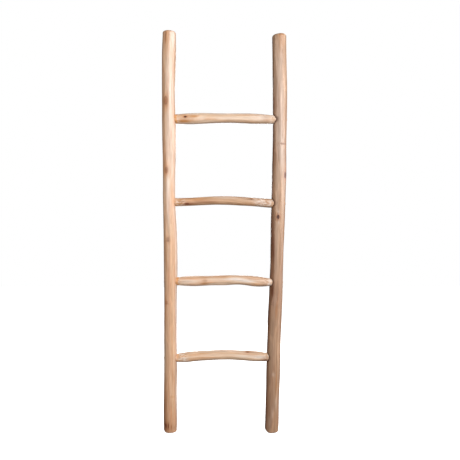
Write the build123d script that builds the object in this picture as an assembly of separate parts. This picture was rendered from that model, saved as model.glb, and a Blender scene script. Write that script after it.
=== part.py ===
from build123d import *
import os

# Rustic hanging ladder made from peeled branches: two tall rails and four rungs.
# Each rung is whittled to a round tenon at both ends. The tenon sits in a blind mortise bored in
# the rail, and a wood screw driven from the rail's outer side holds it, under a wooden plug.
#
# Millimetres. +X runs from the left rail to the right rail, +Y to the wall, +Z up.
# The origin is on the floor, under the middle of the ladder.

# --- driving dimensions ---

LEFT_RAIL_HEIGHT = 1498
RIGHT_RAIL_HEIGHT = 1486
SAW_ALLOWANCE = 20         # branch left on above the saw cut before it is sawn to length
LEFT_TOP_SLOPE = -2.5      # the saw cuts are not quite square: degrees down towards the left
RIGHT_TOP_SLOPE = 4.5
TOP_ROUNDING = 7           # radius of the sanded edge round a rail's top
FOOT_ROUNDING = 6          # radius of the sanded edge round a rail's foot
LEFT_FOOT_BEVEL = 9        # one slanting cut knocks the left corner off each foot
RIGHT_FOOT_BEVEL = 11

TENON_DIAMETER = 28
TENON_LENGTH = 32          # from the rail's centre line to just inside the rung's branch

SCREW_SHANK = 4.5
SCREW_HEAD = 9
SCREW_HEAD_HEIGHT = 2.5
SCREW_LENGTH = 60
SCREW_POINT = 6            # length of the tapered point
RECESS_LENGTH = 5          # the cross recess in the screw's head
RECESS_WIDTH = 1
RECESS_DEPTH = 1.6
COUNTERBORE_DIAMETER = 10
COUNTERBORE_FLOOR = 14     # wood left between the screw's head and the rail's centre line

# Where the branch bends or swells along a rail: height, centre x, centre y, diameter.
LEFT_RAIL = [
    (0, -203, 0, 46),
    (50, -202.5, 0, 49),
    (130, -203, 0, 47.8),
    (250, -202, 1, 49),
    (436, -202.5, 2, 46.8),
    (600, -201.5, 1.5, 49.5),
    (730, -203, 0, 50),
    (908, -207.5, -1, 45.2),
    (1040, -206.5, -1, 49.5),
    (1140, -207.5, 0, 51),
    (1200, -209, 0.5, 48.8),
    (1313, -209.5, 1, 47.9),
    (1400, -208, 0.5, 51.5),
    (1470, -207, 0, 49),
    (1520, -206.5, 0, 48.5),
]
RIGHT_RAIL = [
    (0, 176, 0, 48),
    (50, 178, 0, 51),
    (110, 179.5, 0, 49.8),
    (212, 182, -1, 51.2),
    (340, 185, -2, 50),
    (459, 189.5, -1, 50.9),
    (640, 196, 0, 48.1),
    (800, 200, 1, 51.5),
    (976, 204.5, 1.2, 52.6),
    (1070, 206, 1, 50.4),
    (1200, 207.6, 0, 52.3),
    (1313, 207, -1, 52.9),
    (1420, 205.5, -0.5, 51.5),
    (1509, 205, 0, 51),
]

# Where each rung bends or swells: x, centre y, height, diameter. Its ends lie inside the rails,
# at the heights of its two tenons.
RUNG_1 = [
    (-195, 5, 1171, 34.5),
    (-175, 5, 1171.2, 35),
    (-145, 4, 1171.5, 38.6),
    (-95, 2, 1172.3, 41),
    (-35, 0, 1173.3, 36.3),
    (40, -1, 1173.3, 35.6),
    (120, -2, 1170.5, 37),
    (155, -2.5, 1168.5, 34.6),
    (178, -3, 1167.3, 31.5),
    (195, -3, 1167, 30.5),
]
RUNG_2 = [
    (-195, 2, 859, 30.5),
    (-170, 2, 859.3, 30.4),
    (-125, 3, 860.5, 29.3),
    (-65, 3, 864, 30.6),
    (-10, 2, 865.4, 32),
    (80, 0.5, 861.5, 32),
    (140, -1.5, 857, 32),
    (170, -2, 854.2, 32),
    (190, -2, 853.5, 31.5),
]
RUNG_3 = [
    (-195, 2, 563, 30.5),
    (-172, 2, 563, 30.7),
    (-150, 2, 563.2, 34.3),
    (-114, 1, 563.7, 37.7),
    (-45, 0, 566, 36),
    (10, -0.5, 567.2, 36.8),
    (50, -1, 568.2, 35.2),
    (105, -2, 563.8, 38),
    (135, -2.5, 561, 36),
    (157, -3, 560, 30.8),
    (182, -3, 560, 30.5),
]
RUNG_4 = [
    (-195, 3, 275, 31.5),
    (-172, 3, 275.8, 32.8),
    (-140, 3, 278.3, 38),
    (-110, 2.5, 281.6, 37.5),
    (-60, 2, 284.7, 36.2),
    (0, 1, 287.4, 36.2),
    (60, 0, 285.5, 36.4),
    (110, -1, 282.8, 37.5),
    (150, -2, 280.2, 33),
    (172, -2, 279.5, 31.5),
]
RUNGS = [RUNG_1, RUNG_2, RUNG_3, RUNG_4]


# --- branches ---

def upright_branch(stations):
    """A branch that grows up through circles lying at each station's height.

    The circles start at the wall side, so the surface's seam runs clear of every mortise.
    """
    return loft([Pos(x, y, z) * Rot(0, 0, 90) * Circle(d / 2) for z, x, y, d in stations])


def lying_branch(stations):
    """A branch that runs along x through upright circles."""
    return loft([Pos(x, y, z) * Rot(0, 90, 0) * Circle(d / 2) for x, y, z, d in stations])


def saw_off(branch, height, centre_x, slope):
    """Saw the branch's top off along a plane that drops by slope degrees towards the left."""
    waste = 6 * SAW_ALLOWANCE
    cut = Pos(centre_x, 0, height) * Rot(0, -slope, 0) * Pos(0, 0, waste / 2) * Box(waste, waste, waste)
    return branch - cut


def sand_ends(branch):
    """Round the rims of the sawn top and of the foot."""
    top_rim = branch.faces().sort_by(Axis.Z)[-1].edges()
    branch = fillet(top_rim, TOP_ROUNDING)
    foot_rim = branch.faces().sort_by(Axis.Z)[0].edges()
    return fillet(foot_rim, FOOT_ROUNDING)


def bevel_foot(branch, foot_station, bevel):
    """Cut the foot's left corner off at 45 degrees, up to the bevel's height."""
    height, centre_x, centre_y, diameter = foot_station
    corner = Pos(centre_x - diameter / 2, centre_y, height)
    side = bevel * 2 ** 0.5
    return branch - corner * Rot(0, 45, 0) * Box(side, diameter, side)


def rail_blank(stations, height, slope, bevel):
    """A rail before anything is bored in it."""
    sawn = saw_off(upright_branch(stations), height, stations[-1][1], slope)
    return bevel_foot(sand_ends(sawn), stations[0], bevel)


def centre_at(stations, height):
    """The rail's centre x at a height, between the two stations on either side of it."""
    for lower, upper in zip(stations, stations[1:]):
        if height <= upper[0]:
            share = (height - lower[0]) / (upper[0] - lower[0])
            return lower[1] + share * (upper[1] - lower[1])


# --- joints: everything at one end of a rung lies on that tenon's centre line ---

def screw():
    """A countersunk wood screw along +x, with the top of its head at x = 0."""
    head = Pos(SCREW_HEAD_HEIGHT / 2, 0, 0) * Rot(0, 90, 0) * Cone(
        SCREW_HEAD / 2, SCREW_SHANK / 2, SCREW_HEAD_HEIGHT)
    shank_length = SCREW_LENGTH - SCREW_POINT
    shank = Pos(shank_length / 2, 0, 0) * Rot(0, 90, 0) * Cylinder(SCREW_SHANK / 2, shank_length)
    point = Pos(SCREW_LENGTH - SCREW_POINT / 2, 0, 0) * Rot(0, 90, 0) * Cone(
        SCREW_SHANK / 2, SCREW_SHANK / 10, SCREW_POINT)
    return head + shank + point


def cross_recess():
    """The cross in the screw's head that the driver fits."""
    slot = Box(2 * RECESS_DEPTH, RECESS_LENGTH, RECESS_WIDTH)
    return slot + Rot(90, 0, 0) * slot


def joint(rail, stations, tenon_y, tenon_z, side):
    """The tenon, screw and plug at one end of a rung. side is -1 on the left and 1 on the right."""
    axis = Pos(centre_at(stations, tenon_z), tenon_y, tenon_z) * Rot(0, 0, 0 if side < 0 else 180)
    tenon = axis * Pos(TENON_LENGTH / 2, 0, 0) * Rot(0, 90, 0) * Cylinder(TENON_DIAMETER / 2, TENON_LENGTH)
    screw_place = axis * Pos(-COUNTERBORE_FLOOR, 0, 0)
    screw_blank = screw_place * screw()
    plug_length = 4 * COUNTERBORE_DIAMETER
    plug_rod = screw_place * Pos(-plug_length / 2, 0, 0) * Rot(0, 90, 0) * Cylinder(
        COUNTERBORE_DIAMETER / 2, plug_length)
    return {
        "tenon": tenon,
        "screw_blank": screw_blank,
        "screw": screw_blank - screw_place * cross_recess(),
        "plug": (rail & plug_rod).solid(),
    }


def rung(stations, rails, joints):
    """A rung scribed to fit round both rails, with its two tenons and their pilot holes."""
    branch = lying_branch(stations) - rails[0] - rails[1]
    for end in joints:
        branch = branch + end["tenon"]
    for end in joints:
        branch = branch - end["screw_blank"]
    return branch


def rail(blank, joints):
    """A rail with its mortises, screw holes and counterbores."""
    for end in joints:
        blank = blank - end["tenon"] - end["screw_blank"] - end["plug"]
    return blank


# --- assembly ---

left_blank = rail_blank(LEFT_RAIL, LEFT_RAIL_HEIGHT, LEFT_TOP_SLOPE, LEFT_FOOT_BEVEL)
right_blank = rail_blank(RIGHT_RAIL, RIGHT_RAIL_HEIGHT, RIGHT_TOP_SLOPE, RIGHT_FOOT_BEVEL)

nodes = {}
left_joints = []
right_joints = []
for number, stations in enumerate(RUNGS, start=1):
    left_end = joint(left_blank, LEFT_RAIL, stations[0][1], stations[0][2], -1)
    right_end = joint(right_blank, RIGHT_RAIL, stations[-1][1], stations[-1][2], 1)
    left_joints.append(left_end)
    right_joints.append(right_end)
    nodes[f"rung_{number}"] = rung(stations, (left_blank, right_blank), (left_end, right_end))
    nodes[f"left_screw_{number}"] = left_end["screw"]
    nodes[f"right_screw_{number}"] = right_end["screw"]
    nodes[f"left_plug_{number}"] = left_end["plug"]
    nodes[f"right_plug_{number}"] = right_end["plug"]
nodes["left_rail"] = rail(left_blank, left_joints)
nodes["right_rail"] = rail(right_blank, right_joints)

os.makedirs("parts", exist_ok=True)
for name, solid in nodes.items():
    export_step(solid, f"parts/{name}.step")
    print(name, round(solid.volume / 1000, 1), "cm3")
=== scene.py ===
# %% [markdown]
# # A ladder rack made from peeled branches
# Two tall branches stand side by side and four thinner ones join them as rungs. Nothing is straight
# or quite round: the maker pulled the bark off, shaved the bumps with a drawknife and sanded the
# wood smooth.
#
# The CAD model says where every branch runs and how thick it is. This script keeps that and makes
# the wood: knots, shaved flats, sawn ends, and a finish that follows the grain. The frame's box is
# kept first, because the finished ladder has to stay inside it.

# %% Load the frame and keep its box
import math
from collections import namedtuple

import bmesh
import bpy
import numpy as np
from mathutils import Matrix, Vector, noise
from mathutils.bvhtree import BVHTree


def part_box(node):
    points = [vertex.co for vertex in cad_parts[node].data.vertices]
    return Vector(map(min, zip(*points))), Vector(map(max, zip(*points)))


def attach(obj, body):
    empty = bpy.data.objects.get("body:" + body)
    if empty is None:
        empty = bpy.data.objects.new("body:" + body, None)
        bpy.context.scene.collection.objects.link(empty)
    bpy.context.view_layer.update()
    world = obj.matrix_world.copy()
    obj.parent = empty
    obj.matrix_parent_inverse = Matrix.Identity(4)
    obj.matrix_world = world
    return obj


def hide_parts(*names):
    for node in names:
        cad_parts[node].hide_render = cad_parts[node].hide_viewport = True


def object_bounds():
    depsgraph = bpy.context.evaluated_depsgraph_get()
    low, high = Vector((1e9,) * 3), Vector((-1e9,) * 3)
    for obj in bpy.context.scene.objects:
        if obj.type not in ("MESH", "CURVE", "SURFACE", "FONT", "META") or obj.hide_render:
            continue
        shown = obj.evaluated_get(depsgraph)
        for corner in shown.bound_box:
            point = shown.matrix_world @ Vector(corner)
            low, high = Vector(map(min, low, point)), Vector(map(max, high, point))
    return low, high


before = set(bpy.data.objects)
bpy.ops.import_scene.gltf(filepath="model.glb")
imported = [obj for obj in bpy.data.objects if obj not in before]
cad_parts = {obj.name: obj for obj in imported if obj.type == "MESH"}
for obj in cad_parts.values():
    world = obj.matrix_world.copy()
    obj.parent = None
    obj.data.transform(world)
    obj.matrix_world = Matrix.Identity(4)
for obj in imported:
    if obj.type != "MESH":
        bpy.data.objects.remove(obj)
cad_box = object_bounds()
MM = 0.001
SIDES = {"left": -1, "right": 1}
RUNGS = (1, 2, 3, 4)
print("the CAD box in mm:", [[round(c / MM) for c in corner] for corner in cad_box])

# %% [markdown]
# ## Measuring the branches
# The new wood has to lie where the CAD branches are. Their centre lines could be typed in again,
# but they would go wrong as soon as the CAD changed. So each slice gets calipers: a probe touches
# it from three sides, and one circle goes through the three points. A BVH tree is Blender's quick
# way to ask where a straight line first meets a mesh.

# %% Calipers: three touches and the circle through them
PROBE_START = 400  # mm, well outside the ladder
PROBE_STEP = 10
NEAR_CENTRE = 24  # mm from a rail's outer side to about its centre line

Branch = namedtuple("Branch", "name along centre radius forward sideways")


def touch(tree, start, direction):
    """Where a straight probe first meets the branch, in mm."""
    return np.array(tree.ray_cast(Vector(start) * MM, Vector(direction))[0]) / MM


def circle_through(a, b, c):
    """The centre and the radius of the circle through three points of one slice."""
    centre = np.linalg.solve(2 * np.array([b - a, c - a]), [b @ b - a @ a, c @ c - a @ a])
    return (*centre, np.linalg.norm(a - centre))


def probe_tree(node):
    """The CAD node in a form that probes can touch."""
    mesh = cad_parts[node].data
    return BVHTree.FromPolygons([v.co for v in mesh.vertices], [p.vertices for p in mesh.polygons])


def middle_of(node):
    """The middle of a CAD node's box, in mm."""
    low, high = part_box(node)
    return np.array(low + high) / 2 / MM


# %% Measure the two rails
END_MARGIN = 12  # mm, clear of the rounded rims
PLUG_MARGIN = 8  # mm, clear of the plugs in a rail's outer side


def measure_rail(side):
    """A rail as a Branch that runs up z."""
    tree = probe_tree(f"{side}_rail")
    low, high = (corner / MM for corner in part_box(f"{side}_rail"))
    plug_heights = [middle_of(f"{side}_plug_{number}")[2] for number in RUNGS]
    outward = SIDES[side]
    slices = []
    for height in np.arange(low.z + END_MARGIN, high.z - END_MARGIN, PROBE_STEP):
        if min(abs(height - plug) for plug in plug_heights) < PLUG_MARGIN:
            continue
        outer = touch(tree, (outward * PROBE_START, 0, height), (-outward, 0, 0))
        inside = outer[0] - outward * NEAR_CENTRE
        front = touch(tree, (inside, -PROBE_START, height), (0, 1, 0))
        back = touch(tree, (inside, PROBE_START, height), (0, -1, 0))
        slices.append((height, *circle_through(outer[:2], front[:2], back[:2])))
    height, x, y, radius = np.array(slices).T
    return Branch(f"{side}_rail", height, np.array([x, y, 0 * x]).T, radius,
                  np.array((0, 0, 1)), np.array((1, 0, 0)))


rails = {side: measure_rail(side) for side in SIDES}
for rail in rails.values():
    print(f"{rail.name}: {2 * rail.radius.min():.1f} to {2 * rail.radius.max():.1f} mm thick")


# %% Measure the four rungs
RUNG_MARGIN = 3  # mm, clear of the rail that the rung goes into


def at(branch, along):
    """A branch's centre and radius at places along it."""
    centre = np.array([np.interp(along, branch.along, c) for c in branch.centre.T]).T
    return centre, np.interp(along, branch.along, branch.radius)


def inner_faces(number):
    """The x of the rails' inner sides at a rung's two ends."""
    faces = []
    for side, outward in SIDES.items():
        centre, radius = at(rails[side], middle_of(f"{side}_plug_{number}")[2])
        faces.append(centre[0] - outward * radius)
    return faces


def measure_rung(number):
    """A rung as a Branch that runs along x."""
    tree = probe_tree(f"rung_{number}")
    left, right = inner_faces(number)
    level = middle_of(f"rung_{number}")[2]
    slices = []
    for x in np.arange(left + RUNG_MARGIN, right - RUNG_MARGIN, PROBE_STEP / 2):
        top = touch(tree, (x, 0, 2 * level), (0, 0, -1))
        bottom = touch(tree, (x, 0, 0), (0, 0, 1))
        front = touch(tree, (x, -PROBE_START, (top[2] + bottom[2]) / 2), (0, 1, 0))
        slices.append((x, *circle_through(top[1:], bottom[1:], front[1:])))
    x, y, z, radius = np.array(slices).T
    return Branch(f"rung_{number}", x, np.array([0 * x, y, z]).T, radius,
                  np.array((1, 0, 0)), np.array((0, 0, 1)))


rungs = {number: measure_rung(number) for number in RUNGS}
for rung in rungs.values():
    print(f"{rung.name}: {2 * rung.radius.min():.1f} to {2 * rung.radius.max():.1f} mm thick")

# %% [markdown]
# ## The blank
# A wood turner starts from a straight blank, and so does this mesh. A cone with equal ends is a
# tube, and subdivide_edges cuts it into rows, so that each can later be moved to its own slice of
# the branch. The caps are inset a few times and poked, which closes each end in a neat pole. The
# rows are close together at the ends, where a sanded rim is a small curve. A curve with a bevel
# would be quicker, but its surface can't carry knots or flats.

# %% A straight blank with rows to carve
AROUND = 112  # vertices round a branch
RIM_ROWS = 6
CAP_INSET = 0.14  # share of the radius between the rings of a cap
CAP_RINGS = 6


def row_places(start, end, step, start_rounding, end_rounding):
    """Where the rows lie along a branch, in mm, with close rows round both rims."""
    curve = 1 - np.cos(np.linspace(0, math.pi / 2, RIM_ROWS))[:-1]
    low, high = start + start_rounding, end - end_rounding
    between = np.linspace(low, high, round((high - low) / step) + 1)
    return np.concatenate([start + start_rounding * curve, between, (end - end_rounding * curve)[::-1]])


def straight_blank(rows):
    """A closed tube of radius 1 with its rows one unit apart, from z = 0 upwards."""
    blank = bmesh.new()
    bmesh.ops.create_cone(blank, cap_ends=True, cap_tris=False, segments=AROUND,
                          radius1=1, radius2=1, depth=rows - 1)
    bmesh.ops.translate(blank, verts=blank.verts, vec=(0, 0, (rows - 1) / 2))
    uprights = [e for e in blank.edges if abs(e.verts[0].co.z - e.verts[1].co.z) > 0.5]
    bmesh.ops.subdivide_edges(blank, edges=uprights, cuts=rows - 2, use_grid_fill=True)
    caps = [face for face in blank.faces if len(face.verts) == AROUND]
    for ring in range(CAP_RINGS):
        bmesh.ops.inset_individual(blank, faces=caps, thickness=CAP_INSET, use_even_offset=True)
    bmesh.ops.poke(blank, faces=caps)
    return blank


def unroll(blank, places):
    """Each vertex's angle, place along the branch in mm, and share of the radius."""
    points = np.array([vert.co for vert in blank.verts])
    share = np.minimum(np.hypot(points[:, 0], points[:, 1]), 1)
    share[share > 1 - CAP_INSET / 4] = 1
    return np.arctan2(points[:, 1], points[:, 0]), places[np.rint(points[:, 2]).astype(int)], share


# %% [markdown]
# ## Carving
# Three things turn a round branch into this wood: slow lumps, knots, and long flat facets. The
# wood swells round a knot, where a side twig grew, and dips at its core. A facet is where the
# drawknife took a bump off: a flat plane that dips into the branch and comes out again, so it gets
# its boat-shaped outline from the geometry. The vertices are moved in code, as a sculptor would
# push clay, because no modifier knows where a knot is.
#
# On a rail, around is the angle from the front, positive to the right. On a rung it is positive
# upwards.

# %% Knots, drawknife strokes and slow lumps
Knot = namedtuple("Knot", "along around half_length half_width rise darkness")
Stroke = namedtuple("Stroke", "along around half_length depth drift")
SOFT_EDGE = 0.1  # mm, how far sanding softened a facet's edge
KNOT_REACH = 2.2  # half-sizes out to which the wood swells round a knot
CORE = 0.6  # half-sizes out to which a knot's core has sunk
DIP = 0.9  # how deep the core has sunk, against the swelling's height
STROKE_REACH = 1.2  # half-lengths out to which a stroke's plane is followed
STROKE_TURN = 1  # radians to each side of a stroke out to which its plane is followed
TYPICAL_RADIUS = 25  # mm, to turn an angle into a distance round a branch
SEED_STEP = 7.3  # how far apart in the noise two seeds are


def wrapped(angle):
    """The same angle between half a turn back and half a turn on."""
    return (angle + math.pi) % (2 * math.pi) - math.pi


def half_sizes_away(spot, angle, along, radius):
    """How far points are from a spot on the surface, counted in its half-sizes."""
    around = wrapped(angle - math.radians(spot.around)) * radius
    return np.hypot((along - spot.along) / spot.half_length, around / spot.half_width)


def lumps(angle, along, across, length, seed):
    """Smooth noise from -1 to 1, across mm wide and length mm long on the branch."""
    turn = TYPICAL_RADIUS / across
    wood = np.array([np.cos(angle) * turn, np.sin(angle) * turn, along / length]).T + SEED_STEP * seed
    return np.array([noise.noise(Vector(point)) for point in wood])


def unevenness(table, angle, along, seed):
    """The sum of a table's slow and small lumps."""
    total = np.zeros_like(angle)
    for height, across, length, shift in table:
        total += height * lumps(angle, along, across, length, seed + shift)
    return total


def swelling(knots, angle, along, radius):
    """How far the wood stands out round its knots, in mm."""
    rise = np.zeros_like(angle)
    for knot in knots:
        away = half_sizes_away(knot, angle, along, radius)
        rise += knot.rise * (np.exp(-(away / KNOT_REACH) ** 2) - DIP * np.exp(-(away / CORE) ** 2))
    return rise


def shave(surface, strokes, angle, along, radius):
    """The surface with each stroke's flat cut into it, and where it is freshly cut."""
    fresh = np.zeros_like(angle)
    for stroke in strokes:
        travel = (along - stroke.along) / stroke.half_length
        turn = wrapped(angle - np.radians(stroke.around + stroke.drift * travel))
        depth = stroke.depth * (1 - travel ** 2)
        flat = np.where((abs(turn) < STROKE_TURN) & (abs(travel) < STROKE_REACH),
                        (radius - depth) / np.cos(np.clip(turn, -STROKE_TURN, STROKE_TURN)), 2 * radius)
        fresh = np.maximum(fresh, np.clip((surface - flat) / (2 * SOFT_EDGE), 0, 1))
        surface = -SOFT_EDGE * np.logaddexp(-surface / SOFT_EDGE, -flat / SOFT_EDGE)
    return surface, fresh


# %% [markdown]
# ## What the wood remembers
# Grain runs along the branch and parts round each knot like water round a stone, so every vertex keeps a
# grain place: where it would lie if the branch were straight and had no knots. Other attributes say how near
# it is to a knot, whether it is freshly cut or a sawn end, and where there is painted shade in a crease,
# warmer or paler wood with painted highlight among it, or a brown film of inner bark with painted shade among
# it. The material reads them all, so the finish sticks to the wood from every side.

# %% Grain that parts round the knots, and patches of colour, painted light and shade
Patch = namedtuple("Patch", "along around half_length half_width amount")
FARTHEST = 3  # half-sizes, beyond which a knot is no longer counted


def grain_place(knots, angle, along, radius, surface):
    """Each point's place in straight, knot-free wood, in metres."""
    grain_angle = angle.copy()
    for knot in knots:
        away = np.maximum(half_sizes_away(knot, angle, along, radius), 1)
        grain_angle -= wrapped(angle - math.radians(knot.around)) / away ** 2
    return np.array([np.cos(grain_angle) * surface, np.sin(grain_angle) * surface, along]).T * MM


def knot_marks(knots, angle, along, radius):
    """The distance to the nearest knot in half-sizes, and how dark that knot is."""
    nearest = np.full_like(angle, FARTHEST)
    darkness = np.zeros_like(angle)
    for knot in knots:
        away = half_sizes_away(knot, angle, along, radius)
        darkness = np.where(away < nearest, knot.darkness, darkness)
        nearest = np.minimum(nearest, away)
    return nearest, darkness


def patched(patches, angle, along, radius):
    """The sum of soft patches at each point."""
    total = np.zeros_like(angle)
    for patch in patches:
        total += patch.amount * np.exp(-half_sizes_away(patch, angle, along, radius) ** 2)
    return total


def lasting_marks(knots, warm, bark_and_painted_shade, angle, along, radius, surface):
    """The marks that every branch keeps."""
    nearest, darkness = knot_marks(knots, angle, along, radius)
    return {"grain": grain_place(knots, angle, along, radius, surface), "knot": nearest,
            "knot_dark": darkness, "tone_and_painted_light": patched(warm, angle, along, radius),
            "bark_and_painted_shade": patched(bark_and_painted_shade, angle, along, radius)}


def keep_on(mesh, **values):
    """Store each named value on the mesh's vertices, as numbers or as vectors."""
    for name, value in values.items():
        kind, field = ("FLOAT_VECTOR", "vector") if value.ndim == 2 else ("FLOAT", "value")
        mesh.attributes.new(name, kind, "POINT").data.foreach_set(field, value.astype(np.float32).ravel())


# %% [markdown]
# ## Making a piece
# One helper places the carved rows on the branch and another makes the mesh an object that rides
# with the ladder in its CAD node's place. Turning the blank can turn its faces inside out, so the
# normals are worked out again.

# %% Place the carved rows, and hand a piece to the frame
def place(branch, angle, along, surface):
    """Points of the real branch, in mm."""
    centre, _ = at(branch, along)
    front = np.array((0, -1, 0))
    return (centre + np.outer(along, branch.forward) + np.outer(surface * np.cos(angle), front)
            + np.outer(surface * np.sin(angle), branch.sideways))


def in_scene(name, data):
    """A new object in the scene."""
    made = bpy.data.objects.new(name, data)
    bpy.context.scene.collection.objects.link(made)
    return made


def object_from(shape, name):
    """A new object with a bmesh's shape."""
    mesh = bpy.data.meshes.new(name)
    shape.to_mesh(mesh)
    shape.free()
    return in_scene(name, mesh)


def piece_from(shape, node, kind, slot, points, **kept):
    """Move a bmesh's vertices to points in mm, and make it a smooth piece in a CAD node's place."""
    for vert, point in zip(shape.verts, points * MM):
        vert.co = point
    bmesh.ops.recalc_face_normals(shape, faces=shape.faces)
    for face in shape.faces:
        face.smooth = True
    piece = object_from(shape, f"{node}_{kind}")
    keep_on(piece.data, **kept)
    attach(piece, "root")
    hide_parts(node)
    print(f"{piece.name}: {len(piece.data.polygons)} faces")
    return piece


# %% [markdown]
# ## The marks on each branch
# Each branch is known by its larger knots, the strokes that show, and its patches of colour, bark and painted
# light and shade, so these are given one by one. Small strokes come from a seeded random list, which is the
# same on every run.

# %% The rails' knots, strokes and patches
RAIL_KNOTS = {
    "left": [
        Knot(1466, -27, 22, 2.4, 0.2, 0.65), Knot(1236, -21, 17, 8, 0.6, 0.7),
        Knot(977, -19, 13, 6.5, 0.8, 0.7), Knot(719, -16, 9, 6, 0.5, 0.55),
        Knot(485, -38, 6, 7, 0.4, 0.4), Knot(28, -36, 9, 4, 0.3, 1.0), Knot(1105, 160, 13, 7, 0.8, 0.7),
        Knot(640, 205, 12, 6, 0.7, 0.8), Knot(330, 120, 10, 6, 0.6, 0.6),
    ],
    "right": [
        Knot(1075, 25, 4, 11, 0.15, 0.45), Knot(958, 59, 12, 7, 0.8, 1.1),
        Knot(803, -2, 7, 5.2, 0.9, 1.5), Knot(481, -24, 9, 3, 0.2, 0.35),
        Knot(1300, 190, 13, 7, 0.8, 0.75), Knot(700, 150, 12, 7, 0.7, 0.7),
        Knot(420, 230, 10, 6, 0.6, 0.6),
    ],
}
# A positive amount is warmer wood and a negative one is paler. Many pale patches are painted highlight, on
# the lit right side and upper part of the left rail and on the upper part of the right rail, and a few warm
# ones on the left rail are painted shade that dims its highlight.
RAIL_PATCHES = {
    "left": [
        Patch(1470, -20, 34, 8, 0.55), Patch(1472, 42, 40, 12, -0.5), Patch(1300, -62, 220, 9, 0.35),
        Patch(1230, -24, 34, 13, 0.5), Patch(977, -30, 30, 13, 0.6), Patch(719, -22, 26, 12, 0.3),
        Patch(28, -30, 30, 12, 0.45), Patch(26, -12, 14, 2, 1.0), Patch(24, 14, 12, 1.8, 0.9),
        Patch(135, 22, 5, 9, 0.4), Patch(900, 30, 34, 5, 0.35), Patch(1200, 18, 330, 21, -0.5),
        Patch(860, -6, 150, 8, -0.4), Patch(480, 66, 440, 8, -0.6), Patch(420, 8, 170, 11, 0.28),
        Patch(720, 6, 120, 9, 0.25),
        Patch(1172, 64, 12, 5, 0.7), Patch(860, 60, 16, 6, 0.6), Patch(565, 62, 16, 6, 0.6),
        Patch(872, 44, 22, 2.5, 0.6),
    ],
    "right": [
        Patch(1484, 6, 16, 11, 0.6), Patch(1455, 10, 26, 6, 0.4), Patch(1220, -10, 270, 17, -0.3),
        Patch(1060, 22, 90, 11, -0.3), Patch(455, 7, 30, 5, 0.5), Patch(219, -2, 9, 7, -0.25),
        Patch(190, 25, 42, 2.2, 0.7), Patch(800, -14, 22, 3, 0.4), Patch(42, -28, 26, 6, -0.22),
        Patch(78, 0, 30, 6, -0.26), Patch(118, 26, 32, 6, -0.24), Patch(822, -2, 9, 3, -0.4),
        Patch(783, 4, 9, 3, -0.3),
    ],
}
# Bark patches are partly a brown film of inner bark and partly painted shade: down the shaded left side of
# each rail, and down the right rail's right side to dim it.
RAIL_BARK_AND_SHADE = {
    "left": [
        Patch(700, -84, 900, 8, 0.5), Patch(70, -60, 120, 14, 0.5), Patch(900, -80, 110, 9, 0.4),
        Patch(16, 10, 24, 30, 0.25), Patch(350, 150, 200, 20, 0.6), Patch(714, -18, 2, 9, 0.5),
        Patch(480, -30, 2, 10, 0.5), Patch(28, -12, 9, 1.6, 1.0), Patch(24, 12, 7, 1.4, 0.6),
        Patch(20, 40, 6, 1.4, 0.6),
    ],
    "right": [
        Patch(1250, -80, 300, 11, 0.5), Patch(820, -78, 320, 14, 0.75), Patch(650, -42, 110, 10, 0.45),
        Patch(525, -34, 30, 8, 0.6), Patch(440, -72, 120, 12, 0.5), Patch(120, -72, 240, 15, 0.6),
        Patch(760, 72, 720, 15, 0.3), Patch(1060, 48, 130, 13, 0.22), Patch(500, 0, 85, 26, 0.26),
        Patch(785, -38, 60, 6, 0.2), Patch(685, -36, 50, 8, 0.35), Patch(900, 160, 260, 22, 0.6),
        Patch(1075, 25, 3, 13, 0.45),
    ],
}
RAIL_STROKES = {
    "left": [Stroke(1440, 34, 95, 0.9, 6), Stroke(1010, 8, 120, 0.8, -5), Stroke(560, 20, 110, 0.8, 4)],
    "right": [
        Stroke(1405, -18, 90, 0.9, -4), Stroke(560, -50, 120, 1.6, 8), Stroke(502, -12, 66, 1.1, 22),
        Stroke(910, 40, 120, 0.8, 6),
    ],
}

# %% The rungs' knots, strokes and patches
RUNG_KNOTS = {
    1: [Knot(-146, 15, 4.4, 2.6, -0.9, 2.6), Knot(20, 150, 9, 5, 0.5, 0.6)],
    2: [Knot(-141, -29, 9, 4.5, 0.7, 0.8), Knot(100, 37, 5, 3, 0.4, 0.55)],
    3: [Knot(-73, 0, 10, 5, 0.5, 0.25), Knot(60, 170, 8, 5, 0.5, 0.6)],
    4: [Knot(86, 58, 6, 3.5, 0.4, 1.0), Knot(-50, 190, 8, 5, 0.5, 0.6)],
}
# Pale patches along the rungs' upper sides and at their right ends are painted highlight.
RUNG_PATCHES = {
    1: [
        Patch(20, 58, 150, 7, -0.6), Patch(-150, -36, 20, 5, 1.1), Patch(-112, 16, 17, 4, 0.75),
        Patch(-60, 30, 60, 6, 0.3), Patch(-150, 5, 34, 14, 0.35), Patch(-84, -5, 16, 11, -0.35),
        Patch(10, -8, 60, 6, -0.25), Patch(135, 5, 40, 11, -0.5),
    ],
    2: [
        Patch(-165, 10, 14, 12, 0.35), Patch(-95, 30, 45, 8, 0.6), Patch(0, 42, 110, 6, -0.3),
        Patch(-148, 0, 11, 5, -0.35), Patch(140, 0, 34, 11, -0.45),
    ],
    3: [
        Patch(-50, 46, 110, 5, 0.35), Patch(-74, 4, 12, 14, 0.4), Patch(0, 45, 26, 5, 0.35),
        Patch(-75, -35, 20, 6, 0.5), Patch(-130, -10, 34, 10, -0.3), Patch(35, 16, 36, 5, -0.95),
        Patch(85, -5, 34, 5, -0.8), Patch(118, -25, 22, 6, 0.6),
    ],
    4: [
        Patch(-160, 20, 24, 12, 0.35), Patch(-100, 30, 40, 7, 0.3), Patch(20, 50, 110, 6, -0.3),
        Patch(0, 25, 60, 5, 0.2), Patch(132, 0, 26, 6, -0.8), Patch(-148, -20, 12, 7, -0.5),
        Patch(70, 5, 40, 8, -0.3),
    ],
}
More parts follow.
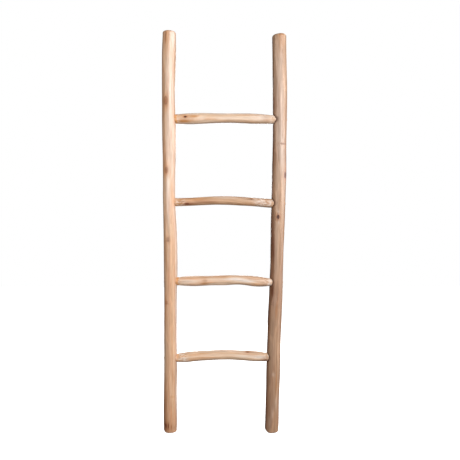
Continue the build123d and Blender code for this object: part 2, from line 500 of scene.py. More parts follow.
# On the rungs the bark patches are mostly painted shade, along the undersides and where the rails shade the
# right ends.
RUNG_BARK_AND_SHADE = {
    1: [Patch(0, -78, 170, 6, 0.3), Patch(154, 0, 16, 24, 0.3)],
    2: [
        Patch(-128, -36, 26, 5, 0.6), Patch(0, -35, 60, 5, 0.15), Patch(-90, -5, 32, 12, 0.25),
        Patch(-60, -22, 35, 3, 0.5), Patch(95, 30, 18, 3, 0.5),
    ],
    3: [Patch(-75, -35, 24, 7, 0.2), Patch(60, -72, 60, 5, 0.2), Patch(146, -35, 14, 8, 0.4)],
    4: [Patch(100, 50, 20, 4, 0.4), Patch(0, -78, 150, 5, 0.25), Patch(154, -42, 16, 11, 0.9)],
}
RUNG_STROKES = {
    1: [Stroke(-82, 5, 34, 1.4, 25), Stroke(60, -10, 80, 0.6, 4)],
    2: [Stroke(-10, 20, 80, 0.6, -6), Stroke(120, 10, 50, 0.6, 8)],
    3: [Stroke(75, 12, 75, 1.0, -28), Stroke(-110, -5, 45, 0.7, 5)],
    4: [Stroke(120, 0, 45, 0.9, -10), Stroke(-20, 10, 80, 0.6, 3)],
}


# %% Small strokes
LENGTH_SPREAD = (0.6, 1.4)  # of the strokes' usual half-length
DEPTH_SPREAD = (0.5, 1.3)  # of their usual depth
MOST_DRIFT = 8  # degrees


def small_strokes(seed, sort, start, end):
    """Seeded strokes all round a branch. The sort says how many, their half-length and their depth."""
    chance = np.random.default_rng(seed)
    count, half_length, depth = sort
    return [Stroke(chance.uniform(start, end), chance.uniform(-180, 180),
                   half_length * chance.uniform(*LENGTH_SPREAD), depth * chance.uniform(*DEPTH_SPREAD),
                   chance.uniform(-MOST_DRIFT, MOST_DRIFT)) for _ in range(count)]


# %% [markdown]
# ## The rails
# The saw cuts at a rail's top are not quite square, and one slanting cut knocks the left corner off its foot.
# Round each joint the rail is dished a little, where the maker pared it to seat the rung, and the crease
# there is painted darker as shade, most at the right rail's joints.

# %% Carve a rail
RAIL_ROW_STEP = 2.5  # mm
TOP_ROUNDING = 9  # mm
FOOT_ROUNDING = 6
TOP_SLOPE = {"left": 2.5, "right": -4.5}  # degrees, up towards the left
FOOT_BEVEL = {"left": 9, "right": 11}  # mm
SLOPE_REACH = 60  # mm below the top over which the wood follows the sloping cut
FULLNESS = 0.6  # mm that a blank is fuller than the branch, for shaving to take off
RAIL_LUMPS = ((0.5, 30, 90, 0), (0.18, 9, 60, 3))  # mm high, mm across, mm long, shift of seed
RAIL_SMALL_STROKES = (46, 70, 0.6)  # how many, and mm of half-length and depth
RAIL_SEED = 11
CLEAR_OF_ENDS = 20  # mm from an end to the middle of the nearest small stroke
DISH_DEPTH = 0.7  # mm
CREASE_WIDTH = 9  # mm
NO_JOINT = 1e3  # mm, farther than any joint's dirt reaches
RAIL_CREASE_SHADE = {"left": 0.2, "right": 1.3}  # how dark the painted shade in the joints' creases is on each side


def fade(value, full, none):
    """1 where value is at full, 0 where it is at none, and a smooth step between them."""
    share = np.clip((value - none) / (full - none), 0, 1)
    return share * share * (3 - 2 * share)


def rim_loss(from_end, rounding):
    """How far a rounded rim has drawn in, at a distance from the sawn end."""
    inside = np.clip(rounding - from_end, 0, rounding)
    return rounding - np.sqrt(rounding ** 2 - inside ** 2)


def near_joints(side, points):
    """How near a rail's points are to the edge of a rung, in mm, on the rail's inner side."""
    nearest = np.full(len(points), NO_JOINT)
    for number, rung in rungs.items():
        end = 0 if side == "left" else -1
        _, y, z = rung.centre[end]
        centre, _ = at(rails[side], z)
        to_edge = np.hypot(points[:, 1] - y, points[:, 2] - z) - rung.radius[end]
        inner = (points[:, 0] - centre[0]) * SIDES[side] < 0
        nearest = np.where(inner, np.minimum(nearest, np.abs(to_edge)), nearest)
    return nearest


def carve_rail(side):
    """One rail, carved, sawn and sanded."""
    rail = rails[side]
    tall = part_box(rail.name)[1].z / MM
    lift = math.tan(math.radians(TOP_SLOPE[side]))
    tall -= abs(lift) * (rail.radius[-1] - TOP_ROUNDING)
    places = row_places(0, tall, RAIL_ROW_STEP, FOOT_ROUNDING, TOP_ROUNDING)
    blank = straight_blank(len(places))
    angle, along, share = unroll(blank, places)
    _, radius = at(rail, along)
    knots = RAIL_KNOTS[side]
    seed = RAIL_SEED + SIDES[side]
    surface = radius + FULLNESS + unevenness(RAIL_LUMPS, angle, along, seed)
    surface += swelling(knots, angle, along, radius)
    strokes = RAIL_STROKES[side] + small_strokes(
        seed, RAIL_SMALL_STROKES, CLEAR_OF_ENDS, tall - CLEAR_OF_ENDS)
    surface, fresh = shave(surface, strokes, angle, along, radius)
    near = near_joints(side, place(rail, angle, along, surface))
    crease = fade(near, 0, CREASE_WIDTH)
    surface -= DISH_DEPTH * crease
    surface -= rim_loss(along, FOOT_ROUNDING) + rim_loss(tall - along, TOP_ROUNDING)
    points = place(rail, angle, along, surface * share)
    centre, _ = at(rail, along)
    points[:, 2] += lift * (centre[:, 0] - points[:, 0]) * fade(tall - along, 0, SLOPE_REACH)
    points = cut_corner(points, centre[:, 0] - radius, FOOT_BEVEL[side])
    sawn = np.maximum(fade(along, 0, FOOT_ROUNDING / 2), fade(tall - along, 0, TOP_ROUNDING / 2))
    marks = lasting_marks(knots, RAIL_PATCHES[side], RAIL_BARK_AND_SHADE[side], angle, along, radius, surface * share)
    return piece_from(blank, rail.name, "branch", "rail_wood", points, fresh=fresh,
                      crease=RAIL_CREASE_SHADE[side] * crease, sawn=np.maximum(sawn, share < 1), **marks)


def cut_corner(points, left_side, bevel):
    """Push points that lie outside the slanting cut at the foot back onto it."""
    outside = np.clip(bevel - (points[:, 0] - left_side) - points[:, 2], 0, None)
    points[:, 0] += outside / 2
    points[:, 2] += outside / 2
    return points


rail_pieces = {side: carve_rail(side) for side in SIDES}

# %% [markdown]
# ## The rungs
# A rung is whittled at both ends until it fits its hole. Only the outside shows, so the piece runs a little
# way into each rail and stops there. The whittled ends are the freshest wood on it, and the crease against
# the rail is painted darkest, as shade, most under the left end.

# %% Carve a rung
RUNG_ROW_STEP = 1.25  # mm
INTO_RAIL = 14  # mm that a rung's piece runs into each rail
HIDDEN_ROUNDING = 1  # mm, on the ends inside the rails
# mm of rough, freshly cut wood next to the left and the right rail
WHITTLED = {1: (16, 18), 2: (42, 76), 3: (16, 24), 4: (52, 14)}
WHITTLED_FULLY = 0.6  # share of that length that is rough all over
RUNG_LUMPS = ((0.35, 22, 45, 0), (0.14, 8, 40, 5))  # mm high, mm across, mm long, shift of seed
RUNG_SMALL_STROKES = (16, 38, 0.5)
END_STROKES = (7, 12, 0.35)  # short cuts that whittle each end down to its hole
END_INSIDE = 5  # mm into the rail, and out of it, between which those cuts lie
END_OUTSIDE = 8
RUNG_SEED = 30
LEFT_END_SEED = 9
RIGHT_END_SEED = 19
# painted shade in the crease against each rail, stronger at the left end
RUNG_CREASE_SHADE = {"left": 0.35, "right": 0.1}
FRESH_WIDTH = 16  # mm
GLUE_STAIN = {1: 1.0, 2: 0.4, 3: 1.3, 4: 0.5}  # how orange glue has stained each left end
GLUE_WIDTH = 12  # mm
GLUE_BLOTCHES = ((0.9, 7, 6, 2),)  # strength, mm across, mm long, shift of seed


def gap_to_rails(points):
    """How far each point is from the nearer rail's surface, in mm."""
    gaps = []
    for rail in rails.values():
        centre, radius = at(rail, points[:, 2])
        gaps.append(np.hypot(points[:, 0] - centre[:, 0], points[:, 1] - centre[:, 1]) - radius)
    return np.minimum(*gaps)


def carve_rung(number):
    """One rung, carved, with its ends just inside the rails."""
    rung = rungs[number]
    left, right = inner_faces(number)
    start, end = left - INTO_RAIL, right + INTO_RAIL
    places = row_places(start, end, RUNG_ROW_STEP, HIDDEN_ROUNDING, HIDDEN_ROUNDING)
    blank = straight_blank(len(places))
    angle, along, share = unroll(blank, places)
    _, radius = at(rung, along)
    knots = RUNG_KNOTS[number]
    seed = RUNG_SEED + number
    surface = radius + FULLNESS / 2 + unevenness(RUNG_LUMPS, angle, along, seed)
    surface += swelling(knots, angle, along, radius)
    strokes = RUNG_STROKES[number] + small_strokes(
        seed, RUNG_SMALL_STROKES, left + CLEAR_OF_ENDS, right - CLEAR_OF_ENDS)
    strokes += small_strokes(seed + LEFT_END_SEED, END_STROKES, left - END_INSIDE, left + END_OUTSIDE)
    strokes += small_strokes(seed + RIGHT_END_SEED, END_STROKES, right - END_OUTSIDE, right + END_INSIDE)
    surface, fresh = shave(surface, strokes, angle, along, radius)
    surface -= rim_loss(along - start, HIDDEN_ROUNDING) + rim_loss(end - along, HIDDEN_ROUNDING)
    points = place(rung, angle, along, surface * share)
    gap = gap_to_rails(points)
    left_half = along < (left + right) / 2
    reach = np.where(left_half, *WHITTLED[number])
    whittled = fade(gap / reach, WHITTLED_FULLY, 1)
    fresh = np.maximum(fresh, fade(gap, FRESH_WIDTH / 2, FRESH_WIDTH))
    blotches = 1 + unevenness(GLUE_BLOTCHES, angle, along, seed)
    glue = GLUE_STAIN[number] * left_half * blotches * fade(gap, GLUE_WIDTH / 3, GLUE_WIDTH)
    # painted shade in the crease: at the left end it grows towards the underside, where shade falls
    crease = np.where(left_half, RUNG_CREASE_SHADE["left"] * (1 - np.sin(angle)), RUNG_CREASE_SHADE["right"])
    crease *= fade(gap, 0, CREASE_WIDTH / 2)
    marks = lasting_marks(knots, RUNG_PATCHES[number], RUNG_BARK_AND_SHADE[number], angle, along, radius,
                          surface * share)
    return piece_from(blank, rung.name, "branch", "rung_wood", points, fresh=fresh, crease=crease,
                      sawn=(share < 1) * 1.0, whittled=whittled, glue=glue, **marks)


rung_pieces = {number: carve_rung(number) for number in RUNGS}

# %% [markdown]
# ## The plugs
# A screw holds each rung from the rail's outer side, and a wooden plug hides its head. It is a
# short dowel, glued in and pared nearly flush, so what shows is a disc of end grain with a thin
# dark glue line round it. Its outer rim is bevelled, and its face is inset so that it can be domed.

# %% Turn the plugs
PLUG_RADIUS = 5  # mm
PLUG_DEPTH = 6
PLUG_PROUD = 0.5  # mm that a plug stands out of the rail
PLUG_RIM = 0.4
PLUG_DOME = 0.25
PLUG_SIDES = 32
PLUG_RINGS = 3  # rings of faces inset into the plug's end
RING_WIDTH = 1.1  # mm
GLUE_LINE = (-1.2, -0.3)  # mm from the plug's end: where glue shows fully, and not at all
LEVEL = 1e-4  # mm, which counts as no height at all


def turn_plug(side, number):
    """One plug, lying along x in the rail's outer side."""
    node = f"{side}_plug_{number}"
    _, y, z = middle_of(node)
    outward = SIDES[side]
    centre, radius = at(rails[side], z)
    face_x = centre[0] + outward * (radius + PLUG_PROUD)
    plug = bmesh.new()
    bmesh.ops.create_cone(plug, cap_ends=True, cap_tris=False, segments=PLUG_SIDES,
                          radius1=PLUG_RADIUS, radius2=PLUG_RADIUS, depth=PLUG_DEPTH)
    bmesh.ops.translate(plug, verts=plug.verts, vec=(0, 0, -PLUG_DEPTH / 2))
    rim = [e for e in plug.edges if all(abs(v.co.z) < LEVEL for v in e.verts)]
    bmesh.ops.bevel(plug, geom=rim, offset=PLUG_RIM, segments=3, profile=0.5, affect="EDGES", material=-1)
    face = max(plug.faces, key=lambda f: f.calc_center_median().z)
    for ring in range(PLUG_RINGS):
        bmesh.ops.inset_individual(plug, faces=[face], thickness=RING_WIDTH, use_even_offset=True)
    bmesh.ops.poke(plug, faces=[face])
    local = np.array([vert.co for vert in plug.verts])
    out = np.hypot(local[:, 0], local[:, 1]) / PLUG_RADIUS
    raised = local[:, 2] + np.where(local[:, 2] > -LEVEL, PLUG_DOME * (1 - out ** 2), 0)
    points = np.array([face_x + outward * raised, y + local[:, 0], z + outward * local[:, 1]]).T
    return piece_from(plug, node, "dowel", "plug_wood", points, grain=local * MM,
                      sawn=np.ones(len(local)), crease=fade(local[:, 2], *GLUE_LINE))


plug_pieces = [turn_plug(side, number) for side in SIDES for number in RUNGS]

# %% [markdown]
# ## The wood
# Peeled and sanded hardwood has colour at several sizes. Broad patches drift from cream to tan over a hand's
# length, and streaks, threads and fibres run along the grain. Knots and the painted shade in the creases are
# the darkest marks. Each of these is one noise or one stored attribute, laid over the last as a thin stain,
# which is how a painter builds up wood grain. So one helper adds a node, and one lays a stain.

# %% Helpers for colours, nodes and stains
def hex_colour(code):
    """An sRGB hex colour as the linear colour that a shader wants."""
    parts = [int(code[i:i + 2], 16) / 255 for i in (1, 3, 5)]
    return (*[c / 12.92 if c <= 0.04045 else ((c + 0.055) / 1.055) ** 2.4 for c in parts], 1)


def grey(value):
    """A shade of grey for a ramp that stands for a number."""
    return (value, value, value, 1)


def add_node(tree, kind, settings=None, inputs=None, stops=()):
    """Add one node with its settings, its inputs' values or links, and a ramp's stops."""
    made = tree.nodes.new("ShaderNode" + kind)
    for name, value in (settings or {}).items():
        setattr(made, name, value)
    for key, value in (inputs or {}).items():
        if isinstance(value, bpy.types.NodeSocket):
            tree.links.new(value, made.inputs[key])
        else:
            made.inputs[key].default_value = value
    if stops:
        elements = made.color_ramp.elements
        for position, colour in stops[1:-1]:
            elements.new(position).color = colour
        for end in (0, -1):
            elements[end].position, elements[end].color = stops[end]
    return made


def stain(tree, under, colour, mask, start, full, strength=1.0, within=1.0, blend="MIX"):
    """A colour over another: none where the mask is at start, and strength where it is at full."""
    cover = add_node(tree, "MapRange", inputs={
        "Value": mask, "From Min": start, "From Max": full, "To Max": strength})
    inside = add_node(tree, "Math", {"operation": "MULTIPLY"}, {0: cover.outputs[0], 1: within})
    over = hex_colour(colour) if isinstance(colour, str) else colour
    mixed = add_node(tree, "Mix", {"data_type": "RGBA", "blend_type": blend}, {
        "Factor": inside.outputs[0], "A": under, "B": over})
    return mixed.outputs["Result"]


def bare_material(name):
    """A new material with nothing in it, and its node tree."""
    material = bpy.data.materials.new(name)
    material.use_nodes = True
    material.node_tree.nodes.clear()
    return material, material.node_tree


# %% [markdown]
# ## The grain
# Noise becomes grain when it is stretched along the branch. The patterns read the grain place that every
# vertex keeps, so they follow the crooked branch and part round its knots. Each pattern's size comes from
# real wood. The stored marks are used as masks. Warm stains, glue and bark soak in further along some streaks
# than along others, so their edges are ragged, and the painted highlight and shade that share their masks get
# the same ragged edges.

# %% Patterns along the grain, and the wood's marks as masks
PATCH_SIZE = (28, 210)  # mm across the grain and along it
STREAK_SIZE = (6, 130)
THREAD_SIZE = (4, 90)
FLECK_SIZE = (5.5, 11)
FIGURE_SIZE = (24, 170)
FIBRE_SIZE = (1.1, 30)  # real fibres are finer: these are as coarse as they need to be to show
MARKS = ("fresh", "tone_and_painted_light", "glue", "bark_and_painted_shade", "whittled", "crease", "sawn", "knot", "knot_dark")
RAGGED_MARKS = ("tone_and_painted_light", "glue", "bark_and_painted_shade")
RAGGED_BY = 1.6  # how much more a mark soaks into the palest streak than into the darkest
RAGGED_LEAST = 0.2  # how much of a mark the darkest streak takes


def grain_pattern(tree, size, detail):
    """Noise that is size mm across and along the grain."""
    across, along = size
    grain = add_node(tree, "Attribute", {"attribute_name": "grain"}).outputs["Vector"]
    stretched = add_node(tree, "Mapping", inputs={
        "Vector": grain, "Scale": (1 / (across * MM), 1 / (across * MM), 1 / (along * MM))})
    return add_node(tree, "TexNoise", inputs={
        "Vector": stretched.outputs[0], "Scale": 1, "Detail": detail, "Roughness": 0.55}).outputs[0]


def marks_on(tree, streaks):
    """The stored marks as masks. Those that soak in are stronger in pale streaks."""
    marks = {name: add_node(tree, "Attribute", {"attribute_name": name}).outputs["Fac"] for name in MARKS}
    soaked = add_node(tree, "Math", {"operation": "MULTIPLY_ADD"}, {
        0: streaks, 1: RAGGED_BY, 2: RAGGED_LEAST}).outputs[0]
    for name in RAGGED_MARKS:
        ragged = add_node(tree, "Math", {"operation": "MULTIPLY"}, {0: marks[name], 1: soaked})
        marks[name] = ragged.outputs[0]
    return marks


# %% [markdown]
# ## Layers of colour
# First comes the clean wood, with streaks, patches, threads and fibres. Then come flecks where the knife tore
# the whittled ends, glue, and the film of inner bark, which also carries painted shade on the shaded sides.
# Growth rings show on a peeled branch as faint contour lines, so the sine of a slow noise draws them. A black
# stain at low strength only darkens, and that is all a shade needs.

# %% Clean wood, worked wood and figure
Wood = namedtuple("Wood", "pale tan warm foot_shade figure wax")
AMBER = "#CF8A48"
CREAM_AND_HIGHLIGHT = "#FBEDE2"
SHADE = "#000000"
FIGURE_RINGS = 26  # radians of growth rings over the whole range of the noise
FOOT_SHADE_HEIGHT = 0.9  # metres up to which the wood near the foot is darker


def clean_wood(tree, wood, streaks, fibres, marks):
    """Bare wood, tan to pale along its streaks, with warmer and paler places, some of them painted highlight.
    """
    colour = add_node(tree, "ValToRGB", inputs={0: streaks}, stops=(
        (0.34, hex_colour(wood.tan)), (0.66, hex_colour(wood.pale)))).outputs[0]
    colour = stain(tree, colour, wood.warm, grain_pattern(tree, PATCH_SIZE, 2), 0.42, 0.68, 0.4)
    colour = stain(tree, colour, wood.pale, marks["fresh"], 0, 1, 0.35)
    # the warm and pale patches: partly the wood's own tone, partly painted highlight and painted shade
    colour = stain(tree, colour, AMBER, marks["tone_and_painted_light"], 0.04, 0.9, 0.9)
    colour = stain(tree, colour, CREAM_AND_HIGHLIGHT, marks["tone_and_painted_light"], -0.04, -0.9, 0.85)
    colour = stain(tree, colour, wood.warm, grain_pattern(tree, THREAD_SIZE, 1), 0.6, 0.72, 0.5)
    return stain(tree, colour, SHADE, fibres, 0.62, 0.3, 0.18)


def worked_wood(tree, colour, marks):
    """Torn flecks on the whittled ends, glue, and the brown film of inner bark, which also paints shade."""
    flecks = grain_pattern(tree, FLECK_SIZE, 2)
    colour = stain(tree, colour, "#F6E4D6", flecks, 0.5, 0.6, 0.65, within=marks["whittled"])
    colour = stain(tree, colour, "#B27C52", flecks, 0.44, 0.34, 0.6, within=marks["whittled"])
    colour = stain(tree, colour, "#E0974A", marks["glue"], 0.05, 0.9, 0.85)
    # the bark stain is also painted shade on the rails' shaded sides and the rungs' undersides
    return stain(tree, colour, "#A98062", marks["bark_and_painted_shade"], 0.05, 0.95, blend="MULTIPLY")


def figured_wood(tree, colour, wood):
    """The contour lines of the growth rings, and darker wood towards the foot."""
    slope = grain_pattern(tree, FIGURE_SIZE, 1)
    turns = add_node(tree, "Math", {"operation": "MULTIPLY"}, {0: slope, 1: FIGURE_RINGS})
    rings = add_node(tree, "Math", {"operation": "SINE"}, {0: turns.outputs[0]})
    colour = stain(tree, colour, SHADE, rings.outputs[0], 0.9, 0, wood.figure)
    grain = add_node(tree, "Attribute", {"attribute_name": "grain"}).outputs["Vector"]
    height = add_node(tree, "SeparateXYZ", inputs={0: grain}).outputs["Z"]
    return stain(tree, colour, "#D6CBC0", height, FOOT_SHADE_HEIGHT, 0, wood.foot_shade, blend="MULTIPLY")


# %% [markdown]
# ## Knots and sawn ends
# A knot is a side twig's own rings: a dark heart, brown wood, a dark rim of dead bark, and warm wood round
# it. Two ramps read the distance from it, one for colour and one for cover. Where a knot has gone hollow its
# core is painted nearly black, as the shade inside the hole. A wave texture would give even stripes along a
# branch, like turned dowel, so it only draws the rings on sawn ends.

# %% Knots, painted shade in the creases, and rings on the sawn ends
RING_SPACING = 2.1  # mm
WAVE_BANDS = 20  # a wave texture fits this many radians into one unit at scale 1
KNOT_COVER = ((0, 1), (0.28, 0.9), (0.36, 0.4), (0.6, 0.16), (1, 0))
KNOT_COLOURS = ((0, "#8E563A"), (0.12, "#AE7648"), (0.2, "#B6804E"), (0.27, "#864E34"),
                (0.34, "#C48A58"), (0.5, "#D69A68"))


def knotted_wood(tree, colour, marks):
    """Knots, hollow ones with painted shade in the hole, and painted shade in the creases."""
    away = add_node(tree, "Math", {"operation": "DIVIDE"}, {0: marks["knot"], 1: FARTHEST}).outputs[0]
    cover = add_node(tree, "ValToRGB", inputs={0: away},
                     stops=[(away_at, grey(share)) for away_at, share in KNOT_COVER]).outputs[0]
    brown = add_node(tree, "ValToRGB", inputs={0: away},
                     stops=[(away_at, hex_colour(code)) for away_at, code in KNOT_COLOURS]).outputs[0]
    colour = stain(tree, colour, brown, cover, 0, 1, within=marks["knot_dark"], blend="MULTIPLY")
    # painted shade: a hollow knot's core is painted near black, for the shade inside its hole
    hollow = add_node(tree, "Math", {"operation": "SUBTRACT"}, {0: marks["knot_dark"], 1: 1.0}).outputs[0]
    colour = stain(tree, colour, "#1C0F08", away, 0.4, 0.22, within=hollow)
    # painted shade in the creases at the joints
    return stain(tree, colour, "#5E3A24", marks["crease"], 0.1, 1, 0.85)


def ring_bands(tree, grain, spacing, distortion):
    """Rings round the grain's centre line, spacing mm apart."""
    return add_node(tree, "TexWave", {"wave_type": "RINGS", "rings_direction": "Z"}, {
        "Vector": grain, "Scale": 2 * math.pi / (WAVE_BANDS * spacing * MM), "Distortion": distortion,
        "Detail": 2}).outputs["Fac"]


def sawn_wood(tree, colour, wood, marks):
    """Growth rings on the sawn ends, a little warmer than the sides."""
    grain = add_node(tree, "Attribute", {"attribute_name": "grain"}).outputs["Vector"]
    end = add_node(tree, "ValToRGB", inputs={0: ring_bands(tree, grain, RING_SPACING, 2.5)}, stops=(
        (0.1, hex_colour(wood.tan)), (0.9, hex_colour(wood.pale)))).outputs[0]
    end = stain(tree, end, wood.warm, 1, 0, 1, 0.35)
    return stain(tree, colour, end, marks["sawn"], 0, 1)


# %% [markdown]
# ## Peeled, sanded hardwood
# Lightly waxed hardwood has an IOR of about 1.5, a satin roughness near 0.55, and a grain that is
# only just raised. The wax gives the soft highlight down each branch. Each branch grew on its own,
# so each has its own tans, but the layers are the same.

# %% The finished wood
STREAK_RISE = 1.6  # how high a streak stands against a fibre


def peeled_wood(name, wood):
    """A branch's wood, with every layer and a thin coat of wax."""
    material, tree = bare_material(name)
    streaks = grain_pattern(tree, STREAK_SIZE, 3)
    fibres = grain_pattern(tree, FIBRE_SIZE, 2)
    marks = marks_on(tree, streaks)
    colour = clean_wood(tree, wood, streaks, fibres, marks)
    colour = worked_wood(tree, colour, marks)
    colour = figured_wood(tree, colour, wood)
    colour = knotted_wood(tree, colour, marks)
    colour = sawn_wood(tree, colour, wood, marks)
    raised = add_node(tree, "Math", {"operation": "MULTIPLY_ADD"}, {0: streaks, 1: STREAK_RISE, 2: fibres})
    bump = add_node(tree, "Bump", inputs={"Height": raised.outputs[0], "Strength": 0.5, "Distance": 0.6 * MM})
    satin = add_node(tree, "MapRange", inputs={
        "Value": streaks, "From Min": 0.3, "From Max": 0.7, "To Min": 0.5, "To Max": 0.62})
    surface = add_node(tree, "BsdfPrincipled", inputs={
        "Base Color": colour, "Roughness": satin.outputs[0], "Normal": bump.outputs[0], "IOR": 1.5,
        "Coat Weight": wood.wax, "Coat Roughness": 0.36})
    add_node(tree, "OutputMaterial", inputs={0: surface.outputs[0]})
    return material


# %% Give each branch its wood
RAIL_WOODS = {
    "left": Wood("#F5CEA9", "#DBA177", "#DC9868", 0.5, 0.09, 0.9),
    "right": Wood("#D3AD8E", "#AC8362", "#B07A58", 0.7, 0.14, 0.45),
}
RUNG_WOODS = {
    1: Wood("#F6DABE", "#E2B58F", "#E4A472", 0, 0.08, 0.7),
    2: Wood("#E6BD97", "#C08E66", "#C8885C", 0, 0.14, 0.65),
    3: Wood("#F6DABE", "#DEAE8C", "#E2A270", 0, 0.12, 0.7),
    4: Wood("#F2D3B4", "#DAA980", "#DE9F70", 0, 0.1, 0.7),
}
for side, piece in rail_pieces.items():
    piece.data.materials.append(peeled_wood(f"peeled_waxed_hardwood_{side}_rail", RAIL_WOODS[side]))
for number, piece in rung_pieces.items():
    piece.data.materials.append(peeled_wood(f"peeled_waxed_hardwood_rung_{number}", RUNG_WOODS[number]))
print("the branches' woods:", [material.name for material in bpy.data.materials if "peeled" in material.name])


# %% [markdown]
# ## The plugs' end grain
# End grain drinks light: it is darker and rougher than the side, with fine rings and small pores.

# %% Beech dowel, cut across
DOWEL_RINGS = 1.3  # mm between rings
PORE_SCALE = 1500  # pores about two thirds of a millimetre apart
OFF_CENTRE = (0.007, 0.003, 0)  # metres: a dowel is not cut from the middle of the tree


def dowel_end(name, early, late):
    """The end of a dowel, with a dark line of glue round it."""
    material, tree = bare_material(name)
    grain = add_node(tree, "Attribute", {"attribute_name": "grain"}).outputs["Vector"]
    shifted = add_node(tree, "Mapping", inputs={"Vector": grain, "Location": OFF_CENTRE}).outputs[0]
    pores = add_node(tree, "TexNoise", inputs={"Vector": grain, "Scale": PORE_SCALE, "Detail": 2}).outputs[0]
    colour = add_node(tree, "ValToRGB", inputs={0: ring_bands(tree, shifted, DOWEL_RINGS, 1.5)},
                      stops=((0, hex_colour(late)), (1, hex_colour(early)))).outputs[0]
    colour = stain(tree, colour, SHADE, pores, 0.6, 0.35, 0.22)
    glue = add_node(tree, "Attribute", {"attribute_name": "crease"}).outputs["Fac"]
    colour = stain(tree, colour, "#5A3A24", glue, 0, 1)
    bump = add_node(tree, "Bump", inputs={"Height": pores, "Strength": 0.4, "Distance": 0.3 * MM})
    surface = add_node(tree, "BsdfPrincipled", inputs={
        "Base Color": colour, "Roughness": 0.62, "Normal": bump.outputs[0], "IOR": 1.5})
    add_node(tree, "OutputMaterial", inputs={0: surface.outputs[0]})
    return material


plug_wood = dowel_end("cut_and_sanded_beech_dowel", "#D9B08A", "#B98A62")
for piece in plug_pieces:
    piece.data.materials.append(plug_wood)
print("plugs finished:", len(plug_pieces))

# %% [markdown]
# ## The screws
# The screws stay as CAD nodes, because their shape is right and they lie hidden in the wood. They
# still get a real finish: zinc plating, a bright metal with a faint yellow-blue bloom.

# %% Zinc-plated steel
BLOOM_SCALE = 260  # blotches about 4 mm across


def zinc_plate():
    """Zinc-plated steel: metal, fairly rough, with a mottled bloom."""
    material, tree = bare_material("zinc_plated_steel")
    spot = add_node(tree, "TexCoord").outputs["Object"]
    bloom = add_node(tree, "TexNoise", inputs={"Vector": spot, "Scale": BLOOM_SCALE, "Detail": 3}).outputs[0]
    colour = add_node(tree, "ValToRGB", inputs={0: bloom},
                      stops=((0.35, hex_colour("#B9B7AC")), (0.65, hex_colour("#C9CDD2")))).outputs[0]
    rough = add_node(tree, "MapRange", inputs={
        "Value": bloom, "From Min": 0.3, "From Max": 0.7, "To Min": 0.3, "To Max": 0.48})
    bump = add_node(tree, "Bump", inputs={"Height": bloom, "Strength": 0.2, "Distance": 0.2 * MM})
    surface = add_node(tree, "BsdfPrincipled", inputs={
        "Base Color": colour, "Metallic": 1, "Roughness": rough.outputs[0], "Normal": bump.outputs[0]})
    add_node(tree, "OutputMaterial", inputs={0: surface.outputs[0]})
    return material


steel = zinc_plate()
screws = [node for name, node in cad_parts.items() if "screw" in name]
for screw in screws:
    screw.data.materials.clear()
    screw.data.materials.append(steel)
print("screws plated:", len(screws))

# %% [markdown]
# ## The studio
# A large softbox, above the camera and to its right, is the main light. A tall strip far round on
# the right lights the other edge of each branch, a weak box left of the camera opens the shadows,
# and a fourth stands behind, so that the back can be looked at too. The floor and the world are
# plain white to the camera. They throw little or no light on the wood, because a bright white room
# would wash out the shaded side of each branch.

# %% Floor and world
FLOOR_REACH = 6  # metres from the ladder to the floor's edge
AMBIENT = 0.3  # the world's brightness to everything but the camera


def plain_floor():
    """A white floor under the feet, which throws no light back up."""
    sheet = bmesh.new()
    bmesh.ops.create_grid(sheet, x_segments=4, y_segments=4, size=FLOOR_REACH)
    floor = object_from(sheet, "studio_floor")
    material = bpy.data.materials.new("matt_white_paper")
    material.use_nodes = True
    surface = material.node_tree.nodes["Principled BSDF"]
    surface.inputs["Base Color"].default_value = hex_colour("#F4F4F4")
    surface.inputs["Roughness"].default_value = 0.9
    surface.inputs["Emission Color"].default_value = (1, 1, 1, 1)
    surface.inputs["Emission Strength"].default_value = 1
    floor.data.materials.append(material)
    floor.visible_diffuse = False
    floor.visible_glossy = False


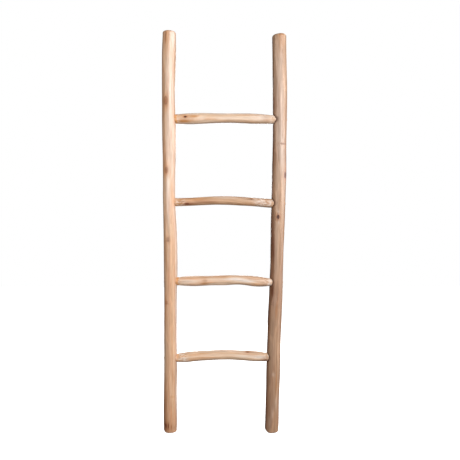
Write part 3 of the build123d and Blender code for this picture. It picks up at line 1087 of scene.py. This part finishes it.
def white_world(ambient):
    """White to the camera, and only as bright as ambient to everything else."""
    world = bpy.data.worlds.new("white_studio")
    world.use_nodes = True
    bpy.context.scene.world = world
    tree = world.node_tree
    tree.nodes.clear()
    seen = add_node(tree, "LightPath").outputs["Is Camera Ray"]
    lit = add_node(tree, "Background", inputs={"Color": (1, 1, 1, 1), "Strength": ambient})
    plain = add_node(tree, "Background", inputs={"Color": (1, 1, 1, 1)})
    mixed = add_node(tree, "MixShader", inputs={0: seen, 1: lit.outputs[0], 2: plain.outputs[0]})
    add_node(tree, "OutputWorld", inputs={0: mixed.outputs[0]})
    world.cycles_visibility.glossy = False


plain_floor()
white_world(AMBIENT)


# %% Softboxes, with sizes and places in metres
def softbox(name, azimuth, height, distance, size, watts, aim_height):
    """An area light that faces the ladder, azimuth degrees round to the camera's right."""
    lamp = bpy.data.lights.new(name, "AREA")
    lamp.shape = "RECTANGLE"
    lamp.size, lamp.size_y = size
    lamp.energy = watts
    turn = math.radians(azimuth)
    box = in_scene(name, lamp)
    box.location = (distance * math.sin(turn), -distance * math.cos(turn), height)
    box.rotation_euler = (Vector((0, 0, aim_height)) - box.location).to_track_quat("-Z", "Y").to_euler()
    box.visible_camera = False
    print(f"{name}: {watts} W from {azimuth} degrees")


softbox("key_softbox", azimuth=34, height=2.1, distance=3.0, size=(1.6, 1.6), watts=79, aim_height=1.0)
softbox("right_strip", azimuth=86, height=1.2, distance=3.2, size=(1.0, 2.0), watts=67, aim_height=0.6)
softbox("camera_fill", azimuth=-20, height=0.8, distance=2.8, size=(1.6, 1.2), watts=23, aim_height=0.6)
softbox("back_fill", azimuth=180, height=1.3, distance=2.6, size=(1.2, 1.6), watts=32, aim_height=0.8)

# %% [markdown]
# ## The camera
# The camera stands straight in front of the ladder, level with its middle, with a normal lens.

# %% Camera
LENS = 50  # mm
SENSOR = 36  # mm
FRAME_WIDTH = 1.7227  # metres taken in at the ladder's middle plane
STEP_RIGHT = 0.0206  # metres that the camera stands right of the ladder's middle
STEP_UP = 0.0052  # and above it

low, high = cad_box
camera_data = bpy.data.cameras.new("camera")
camera_data.lens = LENS
camera_data.sensor_width = SENSOR
camera = in_scene("camera", camera_data)
middle = (low + high) / 2
camera.location = (middle.x + STEP_RIGHT, -FRAME_WIDTH * LENS / SENSOR, middle.z + STEP_UP)
camera.rotation_euler = (math.pi / 2, 0, 0)
bpy.context.scene.camera = camera
bpy.context.scene.view_settings.view_transform = "Standard"
print("the camera stands at", [round(c, 3) for c in camera.location])
